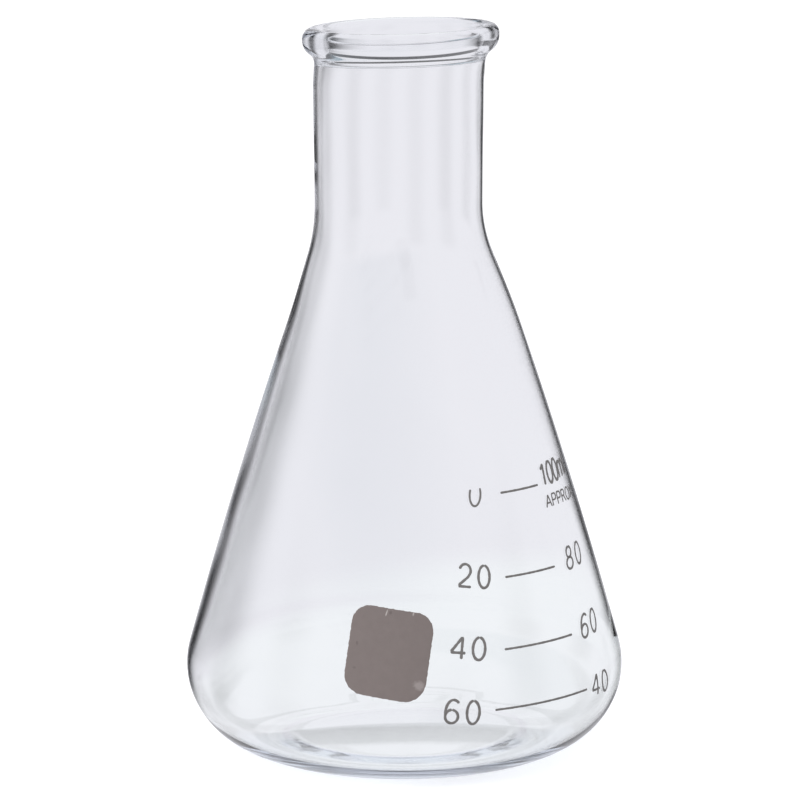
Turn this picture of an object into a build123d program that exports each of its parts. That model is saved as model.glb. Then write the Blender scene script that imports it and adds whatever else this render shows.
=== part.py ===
from build123d import *
from math import acos, asin, atan2, cos, degrees, hypot, radians, sin, sqrt
import os

# A 100 ml Erlenmeyer flask with a narrow neck and a fire-polished bead, blown from one gather of glass,
# and the enamel marks that are fired onto its side: a grey marking patch and four graduation lines.
# Millimetres, +Z up, origin in the middle of the base. The marks face -Y.

# Outside of the glass
body_diameter = 64.0  # widest, low on the heel
heel_radius = 11.8
foot_width = 3.4  # flat ring that touches the table
foot_round = 20.0  # soft edge between the ring and the pushed-up middle
push_up = 0.9
bow_radius = 880.0  # the side of the cone is very slightly full
waist_height = 79.8  # where the shoulder's curve has run into the neck
shoulder_radius = 22.2
neck_diameter = 24.2  # at the waist
neck_opening = 0.16  # how far the neck's side moves out on its way up to the bead
neck_length = 25.4  # waist to the top of the bead

# Bead round the mouth
bead_depth = 1.85  # how far it stands out from the neck
bead_foot_radius = 2.0
bead_under_radius = 2.4
bead_side = 0.3  # upright stretch at the widest

# Walls
wall = 1.3
neck_wall = 1.2
base_wall = 1.9

# Enamel marks. Angles are seen from above, in degrees from the middle of the front, + to the right.
enamel_thickness = 0.1
enamel_clearance = 0.01  # keeps the enamel and the glass from sharing any space
patch_width = 11.45
patch_height = 12.1
patch_corner_radius = 2.6
patch_across = -2.16  # middle of the patch, across the front
patch_up = 20.54  # middle of the patch, above the table
patch_lean = -8.5
chip_radius = 0.7
chip_in = 1.3  # middle of the chip, in from the patch's left edge
chip_bite = 0.35  # how deep the chip goes into the lower edge
line_thickness = 0.28
top_line_height = 41.2
third_line_height = 29.9
second_line_height = 20.3
lowest_line_height = 12.3
line_left_ends = [34.8, 31.4, 27.9, 23.4]  # angles, from the top line down
line_right_end = 53.0
print_low_angle = 40.0  # the print stays above this angle on the heel's curve


def meeting_point(centre_a, reach_a, centre_b, reach_b):
    """The point at the two given distances from two centres, on the left of the way from a to b."""
    across, up = centre_b[0] - centre_a[0], centre_b[1] - centre_a[1]
    apart = hypot(across, up)
    along = (reach_a**2 - reach_b**2 + apart**2) / (2 * apart)
    off = sqrt(reach_a**2 - along**2)
    return (
        centre_a[0] + (along * across - off * up) / apart,
        centre_a[1] + (along * up + off * across) / apart,
    )


def lean(centre_from, centre_to):
    """The angle above level, in degrees, of the line from one centre to another."""
    return degrees(atan2(centre_to[1] - centre_from[1], centre_to[0] - centre_from[0]))


# Heights and radii that follow from the sizes
total_height = waist_height + neck_length
body_radius = body_diameter / 2
neck_radius = neck_diameter / 2
bore_radius = neck_radius - neck_wall
neck_top_radius = neck_radius + neck_opening
bead_radius = neck_top_radius + bead_depth
lip_radius = (bead_radius - bore_radius) / 2  # the rim is fully rounded over the top

# The outside is one run of tangent arcs: heel, bowed side, shoulder. The bow's centre is far across the axis.
heel_centre = (body_radius - heel_radius, heel_radius)
shoulder_centre = (neck_radius + shoulder_radius, waist_height)
bow_centre = meeting_point(
    heel_centre, bow_radius - heel_radius, shoulder_centre, bow_radius + shoulder_radius
)
side_start = lean(bow_centre, heel_centre)
side_end = lean(bow_centre, shoulder_centre)

# The underside is a shallow dome inside the foot ring, with its edge rounded into the ring
foot_inner_radius = heel_centre[0] - foot_width
dome_reach = (foot_inner_radius**2 + push_up**2) / (2 * push_up)
dome_radius = dome_reach - foot_round
dome_turn = degrees(asin(foot_inner_radius / dome_reach))
dome_centre = (0, push_up - dome_radius)

# The inside follows the outside, a wall's thickness away
inner_heel_radius = heel_radius - base_wall
inner_dome_radius = dome_radius + base_wall
inner_bow_radius = bow_radius - wall
inner_shoulder_radius = shoulder_radius + wall
inner_heel_centre = meeting_point(
    bow_centre, inner_bow_radius - inner_heel_radius, dome_centre, inner_dome_radius + inner_heel_radius
)
inner_shoulder_across = bore_radius + inner_shoulder_radius
inner_shoulder_reach = inner_bow_radius + inner_shoulder_radius
inner_shoulder_centre = (
    inner_shoulder_across,
    bow_centre[1] + sqrt(inner_shoulder_reach**2 - (inner_shoulder_across - bow_centre[0]) ** 2),
)
inner_side_start = lean(bow_centre, inner_heel_centre)
inner_side_end = lean(bow_centre, inner_shoulder_centre)
floor_turn = 90 - lean(dome_centre, inner_heel_centre)
inner_heel_turn = floor_turn + 90 + inner_side_start
inner_side_turn = inner_side_end - inner_side_start

# Under the bead, a hollow curve turns the neck outwards and a round one turns it upright again
bead_turn = degrees(acos(1 - bead_depth / (bead_foot_radius + bead_under_radius)))
bead_foot_height = (
    total_height
    - lip_radius
    - bead_side
    - (bead_foot_radius + bead_under_radius) * sin(radians(bead_turn))
)

with BuildPart() as flask:
    with BuildSketch(Plane.XZ) as half_section:
        with BuildLine():
            # Outside, from the middle of the base to the waist
            dome = JernArc((0, push_up), (1, 0), dome_radius, -dome_turn)
            dome_edge = JernArc(dome @ 1, dome % 1, foot_round, dome_turn)
            foot = Line(dome_edge @ 1, (heel_centre[0], 0))
            heel = JernArc(foot @ 1, foot % 1, heel_radius, 90 + side_start)
            side = JernArc(heel @ 1, heel % 1, bow_radius, side_end - side_start)
            shoulder = JernArc(side @ 1, side % 1, shoulder_radius, -side_end)
            # Neck, opening a little towards the bead
            neck = Spline(shoulder @ 1, (neck_top_radius, bead_foot_height), tangents=[(0, 1), (0, 1)])
            # Bead and lip
            bead_foot = JernArc(neck @ 1, (0, 1), bead_foot_radius, -bead_turn)
            bead_under = JernArc(bead_foot @ 1, bead_foot % 1, bead_under_radius, bead_turn)
            bead_edge = Line(bead_under @ 1, (bead_radius, total_height - lip_radius))
            lip = JernArc(bead_edge @ 1, (0, 1), lip_radius, 180)
            # Inside, from the middle of the floor up to the bore
            floor = JernArc((0, push_up + base_wall), (1, 0), inner_dome_radius, -floor_turn)
            inner_heel = JernArc(floor @ 1, floor % 1, inner_heel_radius, inner_heel_turn)
            inner_side = JernArc(inner_heel @ 1, inner_heel % 1, inner_bow_radius, inner_side_turn)
            inner_shoulder = JernArc(inner_side @ 1, inner_side % 1, inner_shoulder_radius, -inner_side_end)
            bore = Line(inner_shoulder @ 1, lip @ 1)
            base_middle = Line(dome @ 0, floor @ 0)
        make_face()
    revolve(axis=Axis.Z)
flask.part.label = "flask"


def side_lines(outwards):
    """The outside of the heel and the side as two arcs, moved outwards."""
    return [
        CenterArc(heel_centre, heel_radius + outwards, -print_low_angle, print_low_angle + side_start),
        CenterArc(bow_centre, bow_radius + outwards, side_start, side_end - side_start),
    ]


def print_skin():
    """A closed line round the section of a layer of enamel on the outside of the heel and the side."""
    under = side_lines(enamel_clearance)
    over = side_lines(enamel_clearance + enamel_thickness)
    Line(under[0] @ 0, over[0] @ 0)
    Line(under[1] @ 1, over[1] @ 1)


# The patch is drawn flat from the front and wraps round the side. Its lower edge has a chip near the left.
with BuildPart() as marking_patch:
    with BuildSketch(Plane.XZ):
        with BuildLine():
            print_skin()
        make_face()
    revolve(axis=Axis.Z)
    with BuildSketch(Plane.XZ):
        with Locations(Location((patch_across, patch_up), patch_lean)):
            RectangleRounded(patch_width, patch_height, patch_corner_radius)
            with Locations((chip_in - patch_width / 2, chip_bite - chip_radius - patch_height / 2)):
                Circle(chip_radius, mode=Mode.SUBTRACT)
    extrude(amount=body_diameter, mode=Mode.INTERSECT)
marking_patch.part.label = "marking_patch"


def slice_outline(start, end):
    """A closed line round a slice of the flask's plan, between two angles from the middle of the front."""
    rim = CenterArc((0, 0), body_diameter, start - 90, end - start)
    Line((0, 0), rim @ 0)
    Line(rim @ 1, (0, 0))


# Each line is a thin arc round the side at one height. All end at the same angle on the right.
line_heights = [top_line_height, third_line_height, second_line_height, lowest_line_height]
with BuildPart() as graduation_lines:
    for height, left_end in zip(line_heights, line_left_ends):
        with BuildSketch(Plane.XY.offset(height - line_thickness / 2)):
            with BuildLine():
                slice_outline(left_end, line_right_end)
            make_face()
        extrude(amount=line_thickness)
    with BuildSketch(Plane.XZ):
        with BuildLine():
            print_skin()
        make_face()
    revolve(axis=Axis.Z, mode=Mode.INTERSECT)
graduation_lines.part.label = "graduation_lines"

os.makedirs("parts", exist_ok=True)
export_step(flask.part, "parts/flask.step")
export_step(marking_patch.part, "parts/marking_patch.step")
export_step(graduation_lines.part, "parts/graduation_lines.step")
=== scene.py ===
from math import acos, asin, atan2, cos, degrees, hypot, pi, radians, sin, sqrt

import bpy
import numpy as np
from mathutils import Matrix, Vector


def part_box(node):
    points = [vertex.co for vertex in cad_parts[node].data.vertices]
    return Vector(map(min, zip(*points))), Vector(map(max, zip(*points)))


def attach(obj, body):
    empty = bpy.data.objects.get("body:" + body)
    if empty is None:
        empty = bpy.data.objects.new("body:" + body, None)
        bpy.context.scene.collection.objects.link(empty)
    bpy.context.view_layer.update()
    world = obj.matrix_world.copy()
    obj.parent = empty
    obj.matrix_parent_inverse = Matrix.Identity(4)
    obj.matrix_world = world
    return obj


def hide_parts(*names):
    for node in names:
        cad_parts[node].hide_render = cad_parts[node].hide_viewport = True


# A 100 ml Erlenmeyer flask of clear borosilicate glass with a fired enamel patch, four graduation lines and
# plain volume numbers. Sizes are in millimetres unless a note says otherwise, and the marks face -Y.

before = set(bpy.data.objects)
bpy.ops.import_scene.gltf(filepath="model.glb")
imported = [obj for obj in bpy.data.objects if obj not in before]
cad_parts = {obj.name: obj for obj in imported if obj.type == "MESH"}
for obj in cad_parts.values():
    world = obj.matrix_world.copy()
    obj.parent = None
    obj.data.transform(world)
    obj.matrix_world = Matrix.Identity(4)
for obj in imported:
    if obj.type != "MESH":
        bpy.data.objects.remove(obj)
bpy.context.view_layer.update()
print("frame loaded")

mm = 0.001  # the scene is in metres
flaskLow, flaskHigh = (np.array(corner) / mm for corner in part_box("flask"))


# Camera

camera = {
    "place": (0.0, -544.8, 157.8),
    "pitch": -11.12,  # degrees, below level
    "turn": 0.06,  # degrees, to the left
    "roll": -0.11,  # degrees
    "lens": 171.82,
    "sensor": 36.0,
    "clipStart": 10.0,
    "clipEnd": 50000.0,
}


def makeCamera(settings):
    data = bpy.data.cameras.new("camera")
    data.lens = settings["lens"]
    data.sensor_width = settings["sensor"]
    data.clip_start = settings["clipStart"] * mm
    data.clip_end = settings["clipEnd"] * mm
    item = bpy.data.objects.new("camera", data)
    turn = Matrix.Rotation(radians(settings["turn"]), 4, "Z")
    pitch = Matrix.Rotation(radians(90 + settings["pitch"]), 4, "X")
    roll = Matrix.Rotation(radians(settings["roll"]), 4, "Z")
    item.matrix_world = Matrix.Translation(Vector(settings["place"]) * mm) @ turn @ pitch @ roll
    bpy.context.scene.collection.objects.link(item)
    bpy.context.scene.camera = item


makeCamera(camera)
print("camera set")


# Shared helpers for meshes and nodes


def smooth(low, high, x):
    # 0 below low, 1 above high, and a cubic with level ends between
    t = np.clip((x - low) / (high - low), 0, 1)
    return t * t * (3 - 2 * t)


def lengthAlong(line):
    # The distance of each point of a line from its first point, along the line
    return np.concatenate([[0], np.cumsum(np.hypot(*np.diff(line, axis=0).T))])


def pointsAt(line, distances):
    # Points at the given distances along a line
    along = lengthAlong(line)
    return np.stack([np.interp(distances, along, line[:, axis]) for axis in (0, 1)], -1)


def gridFaces(rows, columns):
    # Quads of a grid whose columns close into a ring
    row, column = np.meshgrid(np.arange(rows - 1), np.arange(columns), indexing="ij")
    after = (column + 1) % columns
    corners = [row * columns + column, row * columns + after]
    corners += [(row + 1) * columns + after, (row + 1) * columns + column]
    return np.stack(corners, -1).reshape(-1, 4)


def capFaces(middle, ring):
    # A fan of triangles from one middle point to a closed ring of points
    return np.stack([np.full(len(ring), middle), np.roll(ring, -1), ring], -1)


def makePiece(name, points, faces, replaced=None, sharpAngle=None):
    # The faces are turned round if the volume that they hold comes out negative
    triangles = np.concatenate([f[:, [0, i, i + 1]] for f in faces for i in range(1, f.shape[1] - 1)])
    a, b, c = points[triangles].transpose(1, 0, 2)
    if np.sum(a * np.cross(b, c)) < 0:
        faces = [f[:, ::-1] for f in faces]
    mesh = bpy.data.meshes.new(name)
    mesh.from_pydata(points * mm, [], [face for f in faces for face in f.tolist()])
    mesh.shade_smooth()
    if sharpAngle:
        mesh.set_sharp_from_angle(angle=radians(sharpAngle))
    piece = bpy.data.objects.new(name, mesh)
    bpy.context.scene.collection.objects.link(piece)
    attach(piece, "root")
    if replaced:
        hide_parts(replaced)
    return piece


def addNode(tree, kind, inputs=None, **settings):
    # One node with its own settings and its inputs: a socket is linked, anything else is set. Inputs that
    # share a name go by number.
    node = tree.nodes.new(kind)
    for name, value in settings.items():
        setattr(node, name, value)
    for name, value in (inputs or {}).items():
        if isinstance(value, bpy.types.NodeSocket):
            tree.links.new(value, node.inputs[name])
        else:
            node.inputs[name].default_value = value
    return node


def linear(hexColour):
    # sRGB hex to linear red, green, blue and alpha
    shares = [int(hexColour[i : i + 2], 16) / 255 for i in (1, 3, 5)]
    return [s / 12.92 if s <= 0.04045 else ((s + 0.055) / 1.055) ** 2.4 for s in shares] + [1.0]


def newMaterial(name):
    material = bpy.data.materials.new(name)
    material.use_nodes = True
    material.node_tree.nodes.clear()
    return material, material.node_tree


# Glass: one closed line round the wall's section, turned about the axis

glass = {
    "heelRadius": 11.8,
    "footWidth": 3.4,
    "footRound": 20.0,
    "pushUp": 0.9,
    "bowRadius": 880.0,
    "waistHeight": 79.8,
    "shoulderRadius": 22.2,
    "neckRadius": 12.1,
    "neckOpening": 0.16,
    "beadDepth": 1.85,
    "beadFootRadius": 2.0,
    "beadUnderRadius": 2.4,
    "beadSide": 0.3,
    "lipFlat": 0.62,  # the inner half of the lip falls less far than the outer half
    "mouthRadius": 11.25,
    "mouthRun": 2.4,  # the bore narrows to the mouth over this height
    "wall": 0.95,
    "neckWall": 0.45,
    "baseWall": 1.9,
    "thinHeights": (44.0, 80.0),  # the wall thins towards the neck between them
    "thickSide": 0.58,  # how much thicker than its middle value the wall is on the left
    "thickHeights": (4, 20),
    "neckThickSide": 0.12,
    "neckShift": -0.73,  # the neck stands off the base's axis, to the left
    "neckHeights": (62, 80),
    "beadShift": -0.38,
    "beadHeights": (96, 103),
    "mouthShift": -0.03,
    "rimSlope": 1.4,  # degrees, higher on the right
    "rimHeights": (93, 104),
    "stillRadius": 6,  # inside it the waves below fade towards the axis
    "around": 256,
    "steps": {  # parts that each stretch of the section is divided into
        "dome": 9,
        "footRound": 3,
        "foot": 3,
        "heel": 28,
        "side": 54,
        "shoulder": 30,
        "neck": 20,
        "beadFoot": 8,
        "beadUnder": 9,
        "lip": 26,
        "floor": 14,
        "bore": 26,
    },
    "outerWaves": {
        "sines": [  # depth, turns round, radians per millimetre up, start
            (0.012, 2, 0.06, 0.7),
            (0.008, 3, -0.11, 0),
        ],
        "grow": (2, 20),  # heights between which the waves rise from nothing
        "fade": (88, 98),
    },
    "innerWaves": {  # the inside is less even, because no mould touched it
        "sines": [
            (0.025, 2, -0.05, 2.1),
            (0.014, 4, 0.13, 0.4),
            (0.007, 7, 0.35, 0),
            (0.006, 3, 0.55, 0),
        ],
        "grow": (0.5, 20),
        "fade": (92, 102),
    },
}


def meetingPoint(centreA, reachA, centreB, reachB):
    # The point at the two given distances from two centres, on the left of the way from a to b
    across, up = centreB[0] - centreA[0], centreB[1] - centreA[1]
    apart = hypot(across, up)
    along = (reachA**2 - reachB**2 + apart**2) / (2 * apart)
    off = sqrt(reachA**2 - along**2)
    return (
        centreA[0] + (along * across - off * up) / apart,
        centreA[1] + (along * up + off * across) / apart,
    )


def lean(centreFrom, centreTo):
    # The angle above level, in degrees, of the line from one centre to another
    return degrees(atan2(centreTo[1] - centreFrom[1], centreTo[0] - centreFrom[0]))


def bend(line, radius, turn, count):
    # Carries a line of points on round an arc of the given radius, to the left where the turn is positive
    side = 1 if turn > 0 else -1
    start, heading = line["points"][-1], radians(line["heading"])
    centre = start + side * radius * np.array([-sin(heading), cos(heading)])
    angles = heading - side * pi / 2 + np.linspace(0, radians(turn), count + 1)[1:]
    curve = centre + radius * np.stack([np.cos(angles), np.sin(angles)], -1)
    line["points"] = np.concatenate([line["points"], curve])
    line["heading"] += turn


def glassSizes(g):
    # The sizes and centres that follow from the others, the centres by tangency
    heel = ((flaskHigh[0] - flaskLow[0]) / 2 - g["heelRadius"], g["heelRadius"])
    shoulder = (g["neckRadius"] + g["shoulderRadius"], g["waistHeight"])
    bowToHeel, bowToShoulder = g["bowRadius"] - g["heelRadius"], g["bowRadius"] + g["shoulderRadius"]
    footInner = heel[0] - g["footWidth"]
    domeReach = (footInner**2 + g["pushUp"] ** 2) / (2 * g["pushUp"])
    domeRadius = domeReach - g["footRound"]
    return {
        "height": flaskHigh[2],
        "heel": heel,
        "shoulder": shoulder,
        "bow": meetingPoint(heel, bowToHeel, shoulder, bowToShoulder),
        "dome": (0, g["pushUp"] - domeRadius),
        "domeRadius": domeRadius,
        "domeTurn": degrees(asin(footInner / domeReach)),
        "lipRadius": (g["neckRadius"] + g["neckOpening"] + g["beadDepth"] - g["mouthRadius"]) / 2,
    }


def glassOutside(g, sizes):
    # Dome, foot ring, heel, bowed side, shoulder, neck, bead and lip as arcs that each carry on from the last
    height, steps = sizes["height"], g["steps"]
    sideStart, sideEnd = lean(sizes["bow"], sizes["heel"]), lean(sizes["bow"], sizes["shoulder"])
    line = {"points": np.array([[0, g["pushUp"]]]), "heading": 0}
    bend(line, sizes["domeRadius"], -sizes["domeTurn"], steps["dome"])
    bend(line, g["footRound"], sizes["domeTurn"], steps["footRound"])
    foot = np.linspace(line["points"][-1][0], sizes["heel"][0], steps["foot"] + 1)[1:]
    line["points"] = np.concatenate([line["points"], np.stack([foot, np.zeros(steps["foot"])], -1)])
    sideFirst = len(line["points"]) - 1
    bend(line, g["heelRadius"], 90 + sideStart, steps["heel"])
    bend(line, g["bowRadius"], sideEnd - sideStart, steps["side"])
    bend(line, g["shoulderRadius"], -sideEnd, steps["shoulder"])

    # The neck opens a little on its way up, and the bead starts where its own height leaves room for it
    beadReach = g["beadFootRadius"] + g["beadUnderRadius"]
    beadTurn = degrees(acos(1 - g["beadDepth"] / beadReach))
    beadRise = beadReach * sin(radians(beadTurn)) + g["beadSide"] + sizes["lipRadius"]
    neckRise = height - beadRise - g["waistHeight"]
    share = np.linspace(0, 1, steps["neck"] + 1)[1:]
    neck = [g["neckRadius"] + g["neckOpening"] * smooth(0, 1, share), g["waistHeight"] + neckRise * share]
    line["points"] = np.concatenate([line["points"], np.stack(neck, -1)])
    bend(line, g["beadFootRadius"], -beadTurn, steps["beadFoot"])
    bend(line, g["beadUnderRadius"], beadTurn, steps["beadUnder"])
    line["points"] = np.concatenate([line["points"], line["points"][-1:] + [[0, g["beadSide"]]]])
    lipFirst = len(line["points"]) - 1
    bend(line, sizes["lipRadius"], 180, steps["lip"])
    innerLip = line["points"][lipFirst + steps["lip"] // 2 :]
    innerLip[:, 1] = height - (height - innerLip[:, 1]) * g["lipFlat"]
    return line["points"], sideFirst, lipFirst


def glassInside(g, sizes):
    # From the mouth down to the floor's middle: the outside's arcs a wall's thickness away, then the wall is
    # thinned towards the neck and the bore narrowed to the mouth
    steps = g["steps"]
    heelRadius = g["heelRadius"] - g["baseWall"]
    domeRadius = sizes["domeRadius"] + g["baseWall"]
    bowRadius = g["bowRadius"] - g["wall"]
    shoulderRadius = g["shoulderRadius"] + g["wall"]
    neckRadius = g["neckRadius"] - g["wall"]
    heel = meetingPoint(sizes["bow"], bowRadius - heelRadius, sizes["dome"], domeRadius + heelRadius)
    shoulderAcross = neckRadius + shoulderRadius
    shoulderAway = shoulderAcross - sizes["bow"][0]
    shoulderUp = sizes["bow"][1] + sqrt((bowRadius + shoulderRadius) ** 2 - shoulderAway**2)
    sideStart, sideEnd = lean(sizes["bow"], heel), lean(sizes["bow"], (shoulderAcross, shoulderUp))
    floorTurn = 90 - lean(sizes["dome"], heel)
    line = {"points": np.array([[0, g["pushUp"] + g["baseWall"]]]), "heading": 0}
    bend(line, domeRadius, -floorTurn, steps["floor"])
    bend(line, heelRadius, floorTurn + 90 + sideStart, steps["heel"])
    bend(line, bowRadius, sideEnd - sideStart, steps["side"])
    bend(line, shoulderRadius, -sideEnd, steps["shoulder"])
    mouthLow = sizes["height"] - sizes["lipRadius"] * g["lipFlat"]
    up = np.linspace(shoulderUp, mouthLow, steps["bore"] + 1)[1:-1]
    bore = np.stack([np.full(len(up), neckRadius), up], -1)
    inner = np.concatenate([line["points"], bore])[::-1]
    inner[:, 0] += (g["wall"] - g["neckWall"]) * smooth(*g["thinHeights"], inner[:, 1])
    mouthShare = smooth(mouthLow - g["mouthRun"], mouthLow, inner[:, 1])
    inner[:, 0] += (g["mouthRadius"] - inner[:, 0]) * mouthShare
    return inner


def glassSection(g):
    # The whole closed line, with each point's share of the inside: 0 outside, 1 inside, rising over the lip.
    # The third value is the outside from the heel to the bead, which carries the print.
    sizes = glassSizes(g)
    outside, sideFirst, lipFirst = glassOutside(g, sizes)
    inside = glassInside(g, sizes)
    lipShare = np.linspace(0, 1, len(outside) - lipFirst)
    share = np.concatenate([np.zeros(lipFirst), lipShare, np.ones(len(inside))])
    return np.concatenate([outside, inside]), share, outside[sideFirst:lipFirst]


section, innerShare, sideLine = glassSection(glass)


def swell(waves, angle, height):
    # Slow swells of the blown surface, as a sum of sines round and up, a few hundredths of a millimetre
    total = 0
    for depth, turns, rate, start in waves["sines"]:
        total += depth * np.sin(turns * angle + rate * height + start)
    return total * smooth(*waves["grow"], height) * (1 - smooth(*waves["fade"], height))


def glassPoints(g):
    # Point = axis shift + radius times (sin, -cos) of the angle, with the section's height, for each angle
    radius, height = section[:, :1], section[:, 1:]
    share = innerShare[:, None]
    angle = np.linspace(0, 2 * pi, g["around"], endpoint=False)[None, :]
    outerWave = swell(g["outerWaves"], angle, height)
    innerWave = swell(g["innerWaves"], angle, height)
    wave = (1 - share) * outerWave + share * innerWave
    r = radius + wave * smooth(0, g["stillRadius"], radius)
    neckShare = smooth(*g["neckHeights"], height)
    beadShare = smooth(*g["beadHeights"], height)
    outerShift = g["neckShift"] * neckShare + (g["beadShift"] - g["neckShift"]) * beadShare
    thickSide = g["thickSide"] * smooth(*g["thickHeights"], height)
    thickSide = thickSide + (g["neckThickSide"] - thickSide) * smooth(*g["thinHeights"], height)
    innerShift = g["neckShift"] * neckShare + thickSide
    innerShift = innerShift + (g["mouthShift"] - innerShift) * beadShare
    x = (1 - share) * outerShift + share * innerShift + r * np.sin(angle)
    y = -r * np.cos(angle)
    slope = np.tan(radians(g["rimSlope"])) * smooth(*g["rimHeights"], height)
    z = height + slope * (x - outerShift)
    return np.stack(np.broadcast_arrays(x, y, z), -1)


def makeGlass(g):
    # Rings of points joined by quads, and a fan at each end, in the middle underneath and on the floor
    grid = glassPoints(g)
    around = g["around"]
    rings = grid[1:-1]
    bottom, floor = len(rings) * around, len(rings) * around + 1
    points = np.concatenate([rings.reshape(-1, 3), grid[0, :1], grid[-1, :1]])
    lastRing = np.arange(around)[::-1] + (len(rings) - 1) * around
    faces = [gridFaces(len(rings), around), capFaces(bottom, np.arange(around)), capFaces(floor, lastRing)]
    return makePiece("glassBody", points, faces, "flask")


glassBody = makeGlass(glass)
print("glass blown")


# Enamel marks: thin closed shells that follow the outside of the glass and bite a little into it

enamel = {
    "proud": 0.04,
    "bite": 0.03,
    "sharpAngle": 50,  # degrees
}


def sideRadius(height):
    # Radius of the outside at a height, without its waves
    return np.interp(height, sideLine[:, 1], sideLine[:, 0])


def onGlass(angle, height, outwards):
    # A point on the outside at an angle from the middle of the front and a height, moved along the normal of
    # the section
    steepness = np.gradient(sideLine[:, 0], sideLine[:, 1])
    slope = np.interp(height, sideLine[:, 1], steepness)
    tilt = 1 / np.sqrt(1 + slope**2)
    r = sideRadius(height) + swell(glass["outerWaves"], angle, height) + outwards * tilt
    z = height - outwards * slope * tilt
    return np.stack(np.broadcast_arrays(r * np.sin(angle), -r * np.cos(angle), z), -1)


patch = {
    "width": 11.45,
    "height": 12.1,
    "corner": 2.6,
    "lowRightCorner": 3.0,
    "across": -2.16,
    "up": 20.54,
    "lean": -8.5,  # degrees
    "chipRadius": 0.7,
    "chipIn": 1.3,
    "chipBite": 0.35,
    "roughEdge": 0.045,
    "ragged": [(1, 5.1, 1), (0.7, 8.3, 2), (0.6, 13.7, 0)],  # share, radians per millimetre along, start
    "cornerPoints": 24,
    "around": 600,
    "rings": 26,
    "ringShares": (0.04, 0.985),  # of the way from the middle to the edge, first and last ring
}


def patchOutline(p):
    # A rectangle with round corners, taken anticlockwise, as four arcs that straight sides join. Its edge is
    # moved in and out by a sum of sines, and pushed out of the chip's circle.
    w, h = p["width"] / 2, p["height"] / 2
    corners = [
        (w, h, p["corner"], 0),
        (-w, h, p["corner"], 90),
        (-w, -h, p["corner"], 180),
        (w, -h, p["lowRightCorner"], 270),
    ]
    arcs = []
    for x, y, radius, start in corners:
        angles = np.radians(start + np.linspace(0, 90, p["cornerPoints"]))
        middle = np.array([x - np.sign(x) * radius, y - np.sign(y) * radius])
        arcs.append(middle + radius * np.stack([np.cos(angles), np.sin(angles)], -1))
    line = np.concatenate(arcs + [arcs[0][:1]])
    even = np.linspace(0, lengthAlong(line)[-1], p["around"], endpoint=False)
    line = pointsAt(line, even)
    ragged = sum(share * np.sin(even * rate + start) for share, rate, start in p["ragged"])
    most = sum(share for share, rate, start in p["ragged"])
    line *= 1 + p["roughEdge"] * ragged[:, None] / (most * np.hypot(*line.T)[:, None])
    chip = np.array([p["chipIn"] - w, p["chipBite"] - p["chipRadius"] - h])
    away = np.hypot(*(line - chip).T)[:, None]
    return np.where(away < p["chipRadius"], chip + (line - chip) * p["chipRadius"] / away, line)


def makePatch(p):
    # Rings from the middle out to the outline on top, round the edge, and back to the middle underneath
    outline = patchOutline(p)
    proud, bite = enamel["proud"], enamel["bite"]
    rings = np.linspace(*p["ringShares"], p["rings"])
    share = np.concatenate([rings, [1, 1], rings[::-1]])
    lift = np.concatenate([np.full(p["rings"], proud), [0.5 * proud, -bite], np.full(p["rings"], -bite)])
    flat = share[:, None, None] * outline[None, :, :]
    turn = radians(p["lean"])
    x = p["across"] + flat[..., 0] * cos(turn) - flat[..., 1] * sin(turn)
    z = p["up"] + flat[..., 0] * sin(turn) + flat[..., 1] * cos(turn)
    ring = onGlass(np.arcsin(x / sideRadius(z)), z, lift[:, None])
    middleAngle = asin(p["across"] / sideRadius(p["up"]))
    poles = onGlass(np.full(2, middleAngle), np.full(2, p["up"]), np.array([proud, -bite]))
    rows, columns = ring.shape[:2]
    points = np.concatenate([ring.reshape(-1, 3), poles])
    faces = [
        gridFaces(rows, columns),
        capFaces(rows * columns, np.arange(columns)),
        capFaces(rows * columns + 1, np.arange(columns)[::-1] + (rows - 1) * columns),
    ]
    return makePiece("markingPatch", points, faces, "marking_patch", enamel["sharpAngle"])


markingPatch = makePatch(patch)


stroke = {
    "step": 0.07,
    "fewestPoints": 8,
    # Across as a share of the pen's width, and up as a share of how far the enamel stands proud, or bites in
    "section": [(-0.5, -1), (-0.5, 0.5), (-0.36, 1), (0.36, 1), (0.5, 0.5), (0.5, -1)],
    "unevenness": 0.05,  # of the pen's width
    "waves": (3.1, 7.7),  # radians per millimetre along
    "tip": 0.02,  # keeps the first and last ring of a round end open
    "arcPoints": 40,
}


def ribbon(path, pen, number, radius, slant):
    # The stroke's section carried along one path on the unrolled side, in millimetres across and up, with
    # round ends and an uneven width. It is wrapped back by angle = across / radius and height = up / slant.
    section = np.array(stroke["section"])
    lift = np.where(section[:, 1] < 0, -enamel["bite"], section[:, 1] * enamel["proud"])
    length = lengthAlong(path)[-1]
    count = max(stroke["fewestPoints"], int(length / stroke["step"]))
    even = np.linspace(0, length, count)
    line = pointsAt(path, even)
    ahead = np.gradient(line, axis=0)
    ahead /= np.hypot(*ahead.T)[:, None]
    side = np.stack([-ahead[:, 1], ahead[:, 0]], -1)
    fromEnd = np.minimum(even, length - even) / (pen / 2)
    roundEnd = np.sqrt(np.maximum(1 - (1 - np.minimum(fromEnd, 1)) ** 2, stroke["tip"]))
    waves = sum(np.sin(even * rate + times * number) for times, rate in enumerate(stroke["waves"], 1))
    spread = (pen * roundEnd * (1 + stroke["unevenness"] * waves))[:, None] * section[None, :, 0]
    flat = line[:, None, :] + spread[..., None] * side[:, None, :]
    ring = onGlass(flat[..., 0] / radius, flat[..., 1] / slant, lift)
    ends = onGlass(line[[0, -1], 0] / radius, line[[0, -1], 1] / slant, 0)
    around = np.arange(len(section))
    last = count * len(around)
    caps = [capFaces(last, around), capFaces(last + 1, around[::-1] + last - len(around))]
    return np.concatenate([ring.reshape(-1, 3), ends]), gridFaces(count, len(around)), np.concatenate(caps)


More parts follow.
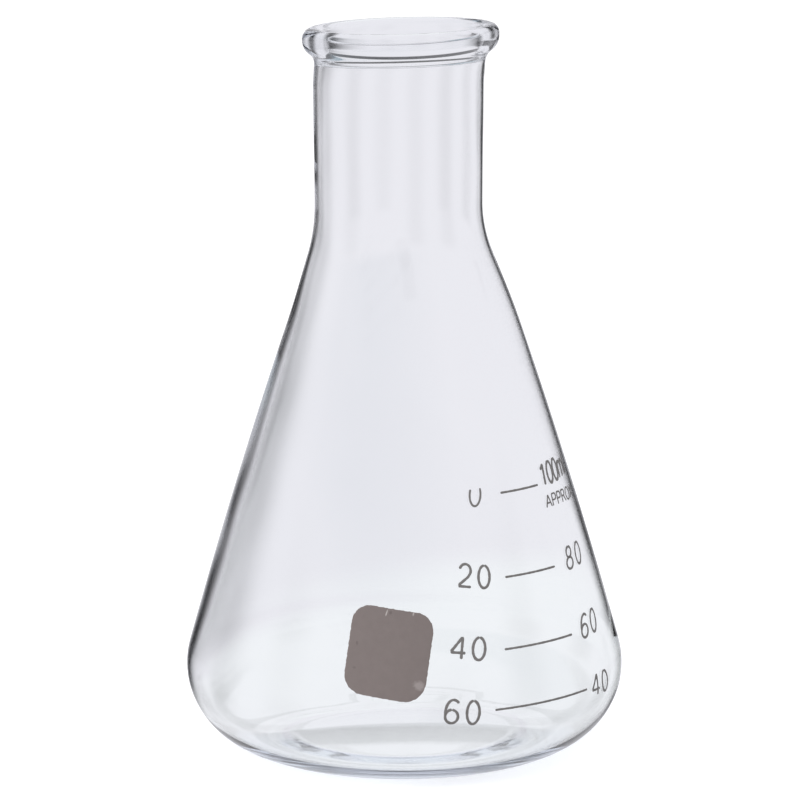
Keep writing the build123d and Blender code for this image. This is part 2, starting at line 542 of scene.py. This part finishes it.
def joinRibbons(ribbons):
    # One set of points and faces from many ribbons, each one's faces counted on from the points before it
    points, quads, triangles = zip(*ribbons)
    firsts = np.cumsum([0] + [len(part) for part in points[:-1]])
    faces = []
    for kind in (quads, triangles):
        faces.append(np.concatenate([part + first for part, first in zip(kind, firsts)]))
    return np.concatenate(points), faces


lines = {
    "thickness": 0.3,
    "places": [  # height, and the angles of the left and the right end in degrees
        (41.2, 34.8, 53.1),
        (29.9, 31.4, 51.8),
        (20.3, 27.9, 52.5),
        (12.3, 23.4, 54.5),
    ],
}


def makeLines(s):
    # Each line is a straight path along one ring
    ribbons = []
    for height, leftEnd, rightEnd in s["places"]:
        radius = sideRadius(height)
        path = np.array([[radians(leftEnd) * radius, height], [radians(rightEnd) * radius, height]])
        ribbons.append(ribbon(path, s["thickness"], 0, radius, 1))
    points, faces = joinRibbons(ribbons)
    return makePiece(
        "graduationLines", points, faces, "graduation_lines", enamel["sharpAngle"]
    )


graduationLines = makeLines(lines)
print("patch and lines fired on")


# Numbers and words, drawn with a pen of one width. Each sign is a list of strokes in a box one unit high.


def arc(x, y, rx, ry, start, end):
    # Part of an oval, between two angles in degrees
    angles = np.radians(np.linspace(start, end, stroke["arcPoints"]))
    return np.stack([x + rx * np.cos(angles), y + ry * np.sin(angles)], -1)


def run(*corners):
    # Straight stretches from corner to corner
    return np.array(corners, float)


signs = {
    "0": (0.58, [arc(0.29, 0.5, 0.24, 0.45, 90, 450)]),
    "1": (0.62, [run((0.38, 0.05), (0.38, 0.95)), run((0.38, 0.93), (0.3, 0.82), (0.16, 0.73))]),
    "2": (
        0.6,
        [
            np.vstack([arc(0.3, 0.69, 0.23, 0.26, 170, -25), run((0.43, 0.44), (0.12, 0.15), (0.06, 0.06))]),
            run((0.05, 0.05), (0.57, 0.05)),
        ],
    ),
    "4": (
        0.66,
        [
            run((0.47, 0.05), (0.47, 0.95)),
            run((0.46, 0.93), (0.06, 0.32)),
            run((0.05, 0.3), (0.62, 0.3)),
        ],
    ),
    "6": (0.6, [arc(0.3, 0.31, 0.24, 0.26, 90, 450), arc(0.36, 0.45, 0.3, 0.5, 50, 195)]),
    "8": (0.58, [arc(0.29, 0.73, 0.19, 0.22, 90, 450), arc(0.29, 0.28, 0.24, 0.24, 90, 450)]),
    "m": (
        0.9,
        [
            run((0.06, 0.05), (0.06, 0.75)),
            np.vstack([arc(0.25, 0.52, 0.19, 0.2, 180, 0), run((0.44, 0.4), (0.44, 0.05))]),
            np.vstack([arc(0.63, 0.52, 0.19, 0.2, 180, 0), run((0.82, 0.4), (0.82, 0.05))]),
        ],
    ),
    "l": (0.2, [run((0.08, 0.05), (0.08, 0.95))]),
    "A": (
        0.7,
        [
            run((0.03, 0.05), (0.35, 0.95)),
            run((0.35, 0.95), (0.67, 0.05)),
            run((0.14, 0.36), (0.56, 0.36)),
        ],
    ),
    "P": (
        0.62,
        [
            run((0.06, 0.05), (0.06, 0.95)),
            np.vstack(
                [run((0.06, 0.94), (0.34, 0.94)), arc(0.36, 0.71, 0.2, 0.23, 90, -90), run((0.06, 0.48))]
            ),
        ],
    ),
    "R": (
        0.68,
        [
            run((0.06, 0.05), (0.06, 0.95)),
            np.vstack(
                [run((0.06, 0.94), (0.34, 0.94)), arc(0.36, 0.72, 0.2, 0.22, 90, -90), run((0.06, 0.5))]
            ),
            run((0.36, 0.5), (0.62, 0.05)),
        ],
    ),
    "O": (0.78, [arc(0.39, 0.5, 0.34, 0.45, 90, 450)]),
    "X": (0.66, [run((0.04, 0.05), (0.61, 0.95)), run((0.04, 0.95), (0.61, 0.05))]),
    "u": (0.58, [arc(0.29, 0.5, 0.24, 0.45, 152, 392)]),  # a 0 whose top is worn off
}

numbers = {
    "slant": 1.045,  # millimetres along the side for one millimetre up
    # Text, angle and height of its start, what one unit across and one unit up add to both, pen, and the gap
    # between signs in units. Every number was put on a little askew.
    "words": [
        ("u", (21.7, 39.7), (8.5, -0.05), (1.36, 3.44), 0.3, 0.22),
        ("20", (15.6, 29.25), (7.4, -0.54), (1.07, 3.32), 0.38, 0.22),
        ("40", (11.7, 19.65), (7.25, -0.47), (1.1, 3.32), 0.4, 0.18),
        ("60", (9.6, 10.9), (6.85, -0.44), (0.56, 3.65), 0.4, 0.22),
        ("80", (57.5, 28.7), (8.0, 0.08), (1.58, 3.27), 0.36, 0.22),
        ("60", (56.4, 19.0), (7.3, 0.19), (1.6, 3.41), 0.38, 0.2),
        ("40", (57.0, 10.7), (6.95, -0.12), (-0.65, 3.44), 0.38, 0.16),
        ("100ml", (54.7, 40.7), (8.05, 0.03), (0.97, 3.23), 0.46, 0.02),
        ("APPROX", (55.0, 37.75), (5.2, -0.06), (0.4, 1.85), 0.26, 0.08),
    ],
}


def makeNumbers(s):
    # A stroke's point = start + across times its x + up times its y, on the unrolled side
    ribbons = []
    for text, start, across, up, pen, gap in s["words"]:
        radius = sideRadius(start[1] + up[1] / 2)
        unit = np.array([radians(1) * radius, s["slant"]])
        paths, cursor = [], 0
        for sign in text:
            width, strokes = signs[sign]
            paths += [(start + (path[:, :1] + cursor) * across + path[:, 1:] * up) * unit for path in strokes]
            cursor += width + gap
        ribbons += [ribbon(path, pen, number, radius, s["slant"]) for number, path in enumerate(paths)]
    points, faces = joinRibbons(ribbons)
    return makePiece("volumeNumbers", points, faces, sharpAngle=enamel["sharpAngle"])


volumeNumbers = makeNumbers(numbers)
print("numbers written")


# Materials

glassLook = {
    "ior": 1.473,  # borosilicate 3.3
    "tint": "#c9d6e6",
    "density": 16.0,  # per metre: the walls take little light, and the thick base a little more
    "shade": "#e9edf4",  # what a shadow through the glass lets past
    "swellWidth": 18.2,  # one swell of the noise that bends the surface
    "swellDepth": 0.4,
    "swellStrength": 0.06,
}


def makeGlassMaterial(look):
    # Clear blown borosilicate: colourless in the middle, blue grey where the sight line runs along the wall,
    # with slow swells that bend the lines behind it
    material, tree = newMaterial("blownBorosilicateGlass")
    place = addNode(tree, "ShaderNodeTexCoord").outputs["Object"]
    inputs = {"Vector": place, "Scale": 1 / (look["swellWidth"] * mm), "Detail": 1.0}
    swells = addNode(tree, "ShaderNodeTexNoise", inputs)
    inputs = {"Height": swells.outputs["Fac"], "Strength": look["swellStrength"]}
    bump = addNode(tree, "ShaderNodeBump", inputs | {"Distance": look["swellDepth"] * mm})
    inputs = {
        "Base Color": (1, 1, 1, 1),
        "Roughness": 0.0,
        "IOR": look["ior"],
        "Transmission Weight": 1.0,
        "Normal": bump.outputs["Normal"],
    }
    body = addNode(tree, "ShaderNodeBsdfPrincipled", inputs)
    through = addNode(tree, "ShaderNodeBsdfTransparent", {"Color": linear(look["shade"])})
    path = addNode(tree, "ShaderNodeLightPath")
    inputs = {0: path.outputs["Is Shadow Ray"], 1: body.outputs["BSDF"], 2: through.outputs["BSDF"]}
    surface = addNode(tree, "ShaderNodeMixShader", inputs)
    inputs = {"Color": linear(look["tint"]), "Density": look["density"]}
    depth = addNode(tree, "ShaderNodeVolumeAbsorption", inputs)
    inputs = {"Surface": surface.outputs["Shader"], "Volume": depth.outputs["Volume"]}
    addNode(tree, "ShaderNodeOutputMaterial", inputs)
    return material


enamelLook = {
    "patch": ("#746b69", "#7e7573"),  # thick and thin enamel
    "lines": ("#6e6c6b", "#858382"),
    "ior": 1.5,
    "roughness": 0.5,
    "mottleWidth": 1.11,  # one spot of the noise, and below it one grain
    "mottleRange": (0.3, 0.75),  # of the noise
    "thinShare": 0.35,
    "grainWidth": 0.2,
    "grainDepth": 0.02,
    "grainStrength": 0.3,
}


def makeEnamelMaterial(name, colours, look):
    # Screen-printed enamel fired at the softening point: matt, a little mottled where it is thin, and with a
    # fine grain
    material, tree = newMaterial(name)
    place = addNode(tree, "ShaderNodeTexCoord").outputs["Object"]
    inputs = {"Vector": place, "Scale": 1 / (look["mottleWidth"] * mm), "Detail": 3.0}
    mottle = addNode(tree, "ShaderNodeTexNoise", inputs)
    inputs = {"Vector": place, "Scale": 1 / (look["grainWidth"] * mm), "Detail": 2.0}
    grain = addNode(tree, "ShaderNodeTexNoise", inputs)
    least, most = look["mottleRange"]
    inputs = {"Value": mottle.outputs[0], "From Min": least, "From Max": most, "To Max": look["thinShare"]}
    share = addNode(tree, "ShaderNodeMapRange", inputs)
    thick, thin = (linear(colour) for colour in colours)
    inputs = {"Factor": share.outputs[0], 6: thick, 7: thin}
    tone = addNode(tree, "ShaderNodeMix", inputs, data_type="RGBA")
    inputs = {"Height": grain.outputs["Fac"], "Strength": look["grainStrength"]}
    bump = addNode(tree, "ShaderNodeBump", inputs | {"Distance": look["grainDepth"] * mm})
    inputs = {
        "Base Color": tone.outputs[2],
        "Roughness": look["roughness"],
        "IOR": look["ior"],
        "Normal": bump.outputs["Normal"],
    }
    body = addNode(tree, "ShaderNodeBsdfPrincipled", inputs)
    addNode(tree, "ShaderNodeOutputMaterial", {"Surface": body.outputs["BSDF"]})
    return material


wear = {
    "gritWidth": 0.385,  # one grain of the noise that breaks up a spot's edge
    "edge": (1.6, 1.0),  # a spot's outer and inner edge, in its own half widths, with the noise added
    "spots": [  # across, up, width, height, turn in degrees, colour, how much of it shows
        (-2.45, 26.08, 0.2, 1.1, 20, "#b5b1ae", 0.8),
        (-1.9, 26.1, 0.5, 0.5, 0, "#5c5452", 0.6),
        (1.27, 25.88, 0.25, 0.6, 12, "#b5b1ae", 0.7),
        (2.03, 16.31, 1.8, 1.4, 30, "#a39c9b", 0.5),
        (-6.6, 21.9, 0.35, 0.6, 0, "#5c5452", 0.6),
        (-7.0, 18.6, 0.5, 0.4, 0, "#5c5452", 0.5),
    ],
}


def wearEnamel(material, w):
    # Rubbed and scratched places: soft ovals in the flask's own coordinates, broken up by a fine noise
    tree = material.node_tree
    body = next(node for node in tree.nodes if node.type == "BSDF_PRINCIPLED")
    colour = body.inputs["Base Color"].links[0].from_socket
    place = addNode(tree, "ShaderNodeTexCoord").outputs["Object"]
    inputs = {"Vector": place, "Scale": 1 / (w["gritWidth"] * mm), "Detail": 3.0}
    grit = addNode(tree, "ShaderNodeTexNoise", inputs)
    outer, inner = w["edge"]
    for across, up, width, height, turn, tone, share in w["spots"]:
        inputs = {
            "Vector": place,
            "Location": (across * mm, 0, up * mm),
            "Rotation": (0, radians(turn), 0),
            "Scale": (width / 2 * mm, 1, height / 2 * mm),
        }
        spot = addNode(tree, "ShaderNodeMapping", inputs, vector_type="TEXTURE")
        away = addNode(tree, "ShaderNodeVectorMath", {0: spot.outputs[0]}, operation="LENGTH")
        inputs = {0: away.outputs["Value"], 1: grit.outputs["Fac"]}
        rough = addNode(tree, "ShaderNodeMath", inputs, operation="ADD")
        inputs = {"Value": rough.outputs[0], "From Min": outer, "From Max": inner, "To Max": share}
        mask = addNode(tree, "ShaderNodeMapRange", inputs)
        inputs = {"Factor": mask.outputs[0], 6: colour, 7: linear(tone)}
        colour = addNode(tree, "ShaderNodeMix", inputs, data_type="RGBA").outputs[2]
    tree.links.new(colour, body.inputs["Base Color"])


glassBody.data.materials.append(makeGlassMaterial(glassLook))
patchEnamel = makeEnamelMaterial("firedGreyEnamel", enamelLook["patch"], enamelLook)
wearEnamel(patchEnamel, wear)
markingPatch.data.materials.append(patchEnamel)
lineEnamel = makeEnamelMaterial("firedLineEnamel", enamelLook["lines"], enamelLook)
graduationLines.data.materials.append(lineEnamel)
volumeNumbers.data.materials.append(lineEnamel)
print("materials made")


# Stage: a pale floor, one soft lamp, and a bright surround with upright dark flags, a dim band to the left
# and a thin dark line behind. They draw the edges, the shoulder and the bead of the glass.

stage = {
    "floorSize": 6.0,  # metres
    "floorGlow": 0.6,
    "floorColour": "#d8d8d8",
    "paintedGlow": "#f3f6f9",  # a glowing pale round under the flask, painted light that the glass shows instead of the surround to brighten its base
    "paintedGlowMiddle": (0.03, 0.03, 0.0),  # metres
    "paintedGlowReach": (0.062, 0.098),  # metres, where it starts to fade and where it is gone
    "surround": "#ebebf1",
    "plain": "#d9d6d6",  # what lights the floor and the enamel
    "flags": [  # degrees from +Y to the right, degrees to each side, and share of the light that it takes
        (-22.5, 17.5, 0.97),
        (22.5, 16.5, 0.95),
        (-67.5, 17.5, 0.95),
        (-112.5, 19.0, 0.6),
        (112.5, 18.5, 0.7),
        (157.5, 18.5, 0.7),
    ],
    "flagCore": 1.5,  # degrees to each side at which a flag is darkest
    "flagHeights": [(-26, -18), (18, 10)],  # degrees above level, outer and inner edge of foot and head
    "band": "#5f8292",
    "bandAngle": -120.0,  # degrees from +Y, where the band is strongest
    "bandSpread": (-0.2, 1.0),  # cosines of the angle away from there, where it starts and where it is full
    "bandHeights": [(14, 22), (60, 50)],
    "lineShare": 0.85,
    "lineSpread": (0.2, 0.5),  # how far back the direction points, where it starts and where it is full
    "lineHeights": [(15, 17), (26, 24)],
    "lampPlace": (-0.5, -0.5, 0.9),  # metres
    "lampAim": (0, 0, 0.05),
    "lampSize": 0.6,
    "lampPower": 9.0,  # watts
    "bounces": 32,  # light runs a long way round inside the thick base
    "glassBounces": 24,
}


def makeWorld(s):
    # Smooth glass sees the surround, both mirrored and through itself, as glossy rays. The camera sees white,
    # and everything else is lit by one plain colour.
    world = bpy.data.worlds.new("surround")
    bpy.context.scene.world = world
    world.use_nodes = True
    tree = world.node_tree
    tree.nodes.clear()
    place = addNode(tree, "ShaderNodeTexCoord").outputs["Generated"]
    flat = addNode(tree, "ShaderNodeVectorMath", {0: place, 1: (1, 1, 0)}, operation="MULTIPLY").outputs[0]
    level = addNode(tree, "ShaderNodeVectorMath", {0: flat}, operation="NORMALIZE").outputs[0]
    back = addNode(tree, "ShaderNodeSeparateXYZ", {0: level}).outputs["Y"]
    up = addNode(tree, "ShaderNodeSeparateXYZ", {0: place}).outputs["Z"]
    above = addNode(tree, "ShaderNodeMath", {0: up}, operation="ARCSINE").outputs[0]
    above = addNode(tree, "ShaderNodeMath", {0: above}, operation="DEGREES").outputs[0]

    flags = 0.0
    for angle, reach, share in s["flags"]:
        towards = (sin(radians(angle)), cos(radians(angle)), 0)
        near = addNode(tree, "ShaderNodeVectorMath", {0: level, 1: towards}, operation="DOT_PRODUCT")
        away = addNode(tree, "ShaderNodeMath", {0: near.outputs["Value"]}, operation="ARCCOSINE").outputs[0]
        away = addNode(tree, "ShaderNodeMath", {0: away}, operation="DEGREES").outputs[0]
        inputs = {"Value": away, "From Min": reach, "From Max": s["flagCore"], "To Max": share}
        flag = addNode(tree, "ShaderNodeMapRange", inputs, interpolation_type="SMOOTHSTEP").outputs[0]
        flags = addNode(tree, "ShaderNodeMath", {0: flags, 1: flag}, operation="MAXIMUM").outputs[0]

    towards = (sin(radians(s["bandAngle"])), cos(radians(s["bandAngle"])), 0)
    near = addNode(tree, "ShaderNodeVectorMath", {0: level, 1: towards}, operation="DOT_PRODUCT")
    start, full = s["bandSpread"]
    inputs = {"Value": near.outputs["Value"], "From Min": start, "From Max": full}
    band = addNode(tree, "ShaderNodeMapRange", inputs).outputs[0]
    start, full = s["lineSpread"]
    inputs = {"Value": back, "From Min": start, "From Max": full, "To Max": s["lineShare"]}
    line = addNode(tree, "ShaderNodeMapRange", inputs).outputs[0]

    forms = []  # flags, band and line, each kept between its foot and its head
    for form, heights in ((flags, s["flagHeights"]), (band, s["bandHeights"]), (line, s["lineHeights"])):
        for outer, inner in heights:
            inputs = {"Value": above, "From Min": outer, "From Max": inner}
            edge = addNode(tree, "ShaderNodeMapRange", inputs, interpolation_type="SMOOTHSTEP").outputs[0]
            form = addNode(tree, "ShaderNodeMath", {0: form, 1: edge}, operation="MULTIPLY").outputs[0]
        forms.append(form)
    flags, band, line = forms

    dark = addNode(tree, "ShaderNodeMath", {0: flags, 1: line}, operation="MAXIMUM").outputs[0]
    strength = addNode(tree, "ShaderNodeMapRange", {"Value": dark, "To Min": 1.0, "To Max": 0.0}).outputs[0]
    inputs = {"Factor": band, 6: linear(s["surround"]), 7: linear(s["band"])}
    colour = addNode(tree, "ShaderNodeMix", inputs, data_type="RGBA").outputs[2]
    surround = addNode(tree, "ShaderNodeBackground", {"Color": colour, "Strength": strength}).outputs[0]
    plain = addNode(tree, "ShaderNodeBackground", {"Color": linear(s["plain"])}).outputs[0]
    white = addNode(tree, "ShaderNodeBackground", {"Color": (1, 1, 1, 1)}).outputs[0]
    path = addNode(tree, "ShaderNodeLightPath")
    inputs = {0: path.outputs["Is Glossy Ray"], 1: plain, 2: surround}
    seen = addNode(tree, "ShaderNodeMixShader", inputs).outputs[0]
    inputs = {0: path.outputs["Is Camera Ray"], 1: seen, 2: white}
    seen = addNode(tree, "ShaderNodeMixShader", inputs).outputs[0]
    addNode(tree, "ShaderNodeOutputWorld", {"Surface": seen})


def makeFloor(s):
    # White for the camera, with room left for the object's shadow. Through the glass a glowing pale round
    # shows under the flask, painted light that brightens the base, and beyond that the surround shows.
    half = s["floorSize"] / 2
    corners = [(-half, -half, 0), (half, -half, 0), (half, half, 0), (-half, half, 0)]
    mesh = bpy.data.meshes.new("floor")
    mesh.from_pydata(corners, [], [(0, 1, 2, 3)])
    floor = bpy.data.objects.new("floor", mesh)
    bpy.context.scene.collection.objects.link(floor)
    floor.visible_glossy = False  # the glass doesn't mirror it
    material, tree = newMaterial("paleFloor")
    path = addNode(tree, "ShaderNodeLightPath")
    inputs = {0: path.outputs["Is Camera Ray"], 1: s["floorGlow"]}
    glow = addNode(tree, "ShaderNodeMath", inputs, operation="MULTIPLY").outputs[0]
    white = addNode(tree, "ShaderNodeEmission", {"Color": (1, 1, 1, 1), "Strength": glow}).outputs[0]
    diffuse = addNode(tree, "ShaderNodeBsdfDiffuse", {"Color": linear(s["floorColour"])}).outputs[0]
    plain = addNode(tree, "ShaderNodeAddShader", {0: diffuse, 1: white}).outputs[0]
    # Painted light: a glowing pale round under the flask that only the glass sees, lightening its base
    place = addNode(tree, "ShaderNodeTexCoord").outputs["Object"]
    away = addNode(tree, "ShaderNodeVectorMath", {0: place, 1: s["paintedGlowMiddle"]}, operation="DISTANCE")
    start, end = s["paintedGlowReach"]
    inputs = {"Value": away.outputs["Value"], "From Min": start, "From Max": end}
    share = addNode(tree, "ShaderNodeMapRange", inputs, interpolation_type="SMOOTHSTEP").outputs[0]
    paintedGlow = addNode(tree, "ShaderNodeEmission", {"Color": linear(s["paintedGlow"])}).outputs[0]
    clear = addNode(tree, "ShaderNodeBsdfTransparent").outputs[0]
    through = addNode(tree, "ShaderNodeMixShader", {0: share, 1: paintedGlow, 2: clear}).outputs[0]
    inputs = {0: path.outputs["Is Transmission Ray"], 1: plain, 2: through}
    surface = addNode(tree, "ShaderNodeMixShader", inputs).outputs[0]
    addNode(tree, "ShaderNodeOutputMaterial", {"Surface": surface})
    mesh.materials.append(material)


def makeLamp(s):
    data = bpy.data.lights.new("softbox", "AREA")
    data.shape = "SQUARE"
    data.size = s["lampSize"]
    data.energy = s["lampPower"]
    lamp = bpy.data.objects.new("softbox", data)
    lamp.location = s["lampPlace"]
    aim = Vector(s["lampAim"]) - Vector(s["lampPlace"])
    lamp.rotation_euler = aim.to_track_quat("-Z", "Y").to_euler()
    lamp.visible_glossy = False  # no bright square in the glass
    lamp.visible_transmission = False
    bpy.context.scene.collection.objects.link(lamp)


makeWorld(stage)
makeFloor(stage)
makeLamp(stage)
bpy.context.scene.view_settings.view_transform = "Standard"
bpy.context.scene.cycles.max_bounces = stage["bounces"]
bpy.context.scene.cycles.glossy_bounces = stage["glassBounces"]
bpy.context.scene.cycles.transmission_bounces = stage["glassBounces"]
print("stage lit")
